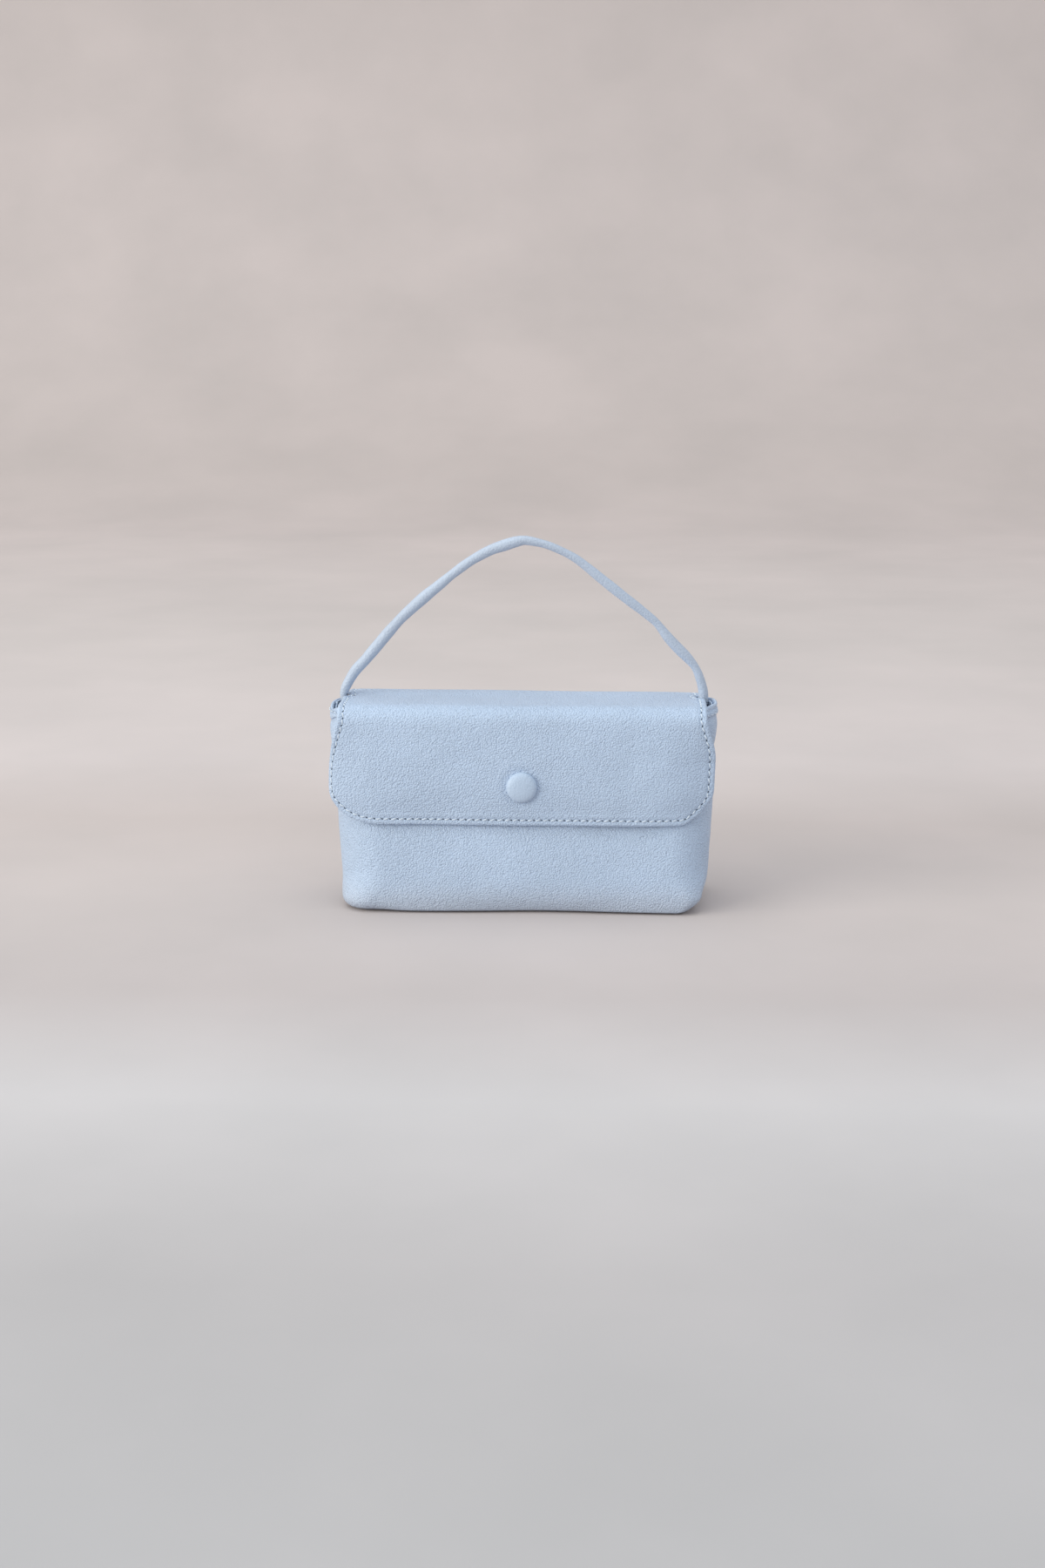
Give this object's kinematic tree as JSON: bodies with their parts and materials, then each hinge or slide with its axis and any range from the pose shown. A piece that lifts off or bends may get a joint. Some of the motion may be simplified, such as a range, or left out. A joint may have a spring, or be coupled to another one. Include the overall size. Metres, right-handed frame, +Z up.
{
  "type": "mini handbag",
  "caption": "Small soft leather bag with a boxed base, a fold-over flap with a covered button and snap, and a rolled top handle.",
  "frame": {"origin": "on the floor, at the middle of the base panel's flat underside", "axes": "+X along the width to the right as seen from the front, +Y towards the back, +Z up"},
  "size_m": [0.1916, 0.0594, 0.1795],
  "materials": {
    "leather": "fine pebbled grain, satin, pale powder blue",
    "handle_leather": "the same leather rolled tight, smoother grain",
    "button_leather": "the same leather stretched smooth over a dome",
    "lining": "fine woven lining, warm pale grey",
    "board": "stiff base sheet, matt",
    "snap_metal": "satin plated steel",
    "magnet": "dark sintered magnet",
    "cord": "braided cotton piping cord"
  },
  "bodies": {
    "pouch": {"front_panel": "leather", "back_panel": "leather", "base_panel": "leather", "lining_front": "lining", "lining_back": "lining", "lining_base": "lining", "base_board": "board", "mouth_binding": "leather", "handle_tab_left": "leather", "handle_tab_right": "leather", "handle_end_left": "leather", "handle_end_right": "leather", "snap_socket": "snap_metal", "snap_magnet": "magnet", "snap_socket_plate": "snap_metal"},
    "flap_top": {"flap_top_leather": "leather", "flap_top_lining": "lining"},
    "flap_front": {"flap_front_leather": "leather", "flap_front_lining": "lining", "snap_stud": "snap_metal", "snap_stud_plate": "snap_metal", "button_cap": "button_leather", "button_shell": "snap_metal"},
    "handle": {"handle_cover": "handle_leather", "handle_core": "cord"}
  },
  "joints": [
    {"name": "flap_turn", "type": "hinge", "parent": "pouch", "child": "flap_top", "pos_m": [0, 0.0185, 0.10065], "axis": [-1, 0, 0], "range_deg": [0, 175], "deforming": ["handle_cover", "handle_core"]},
    {"name": "flap_fold", "type": "hinge", "parent": "flap_top", "child": "flap_front", "pos_m": [0, -0.0231, 0.09875], "axis": [-1, 0, 0], "range_deg": [0, 88]},
    {"name": "handle_swing", "type": "hinge", "parent": "pouch", "child": "handle", "pos_m": [0, 0.00582, 0.10115], "axis": [-1, 0, 0], "range_deg": [-60, 60]}
  ]
}
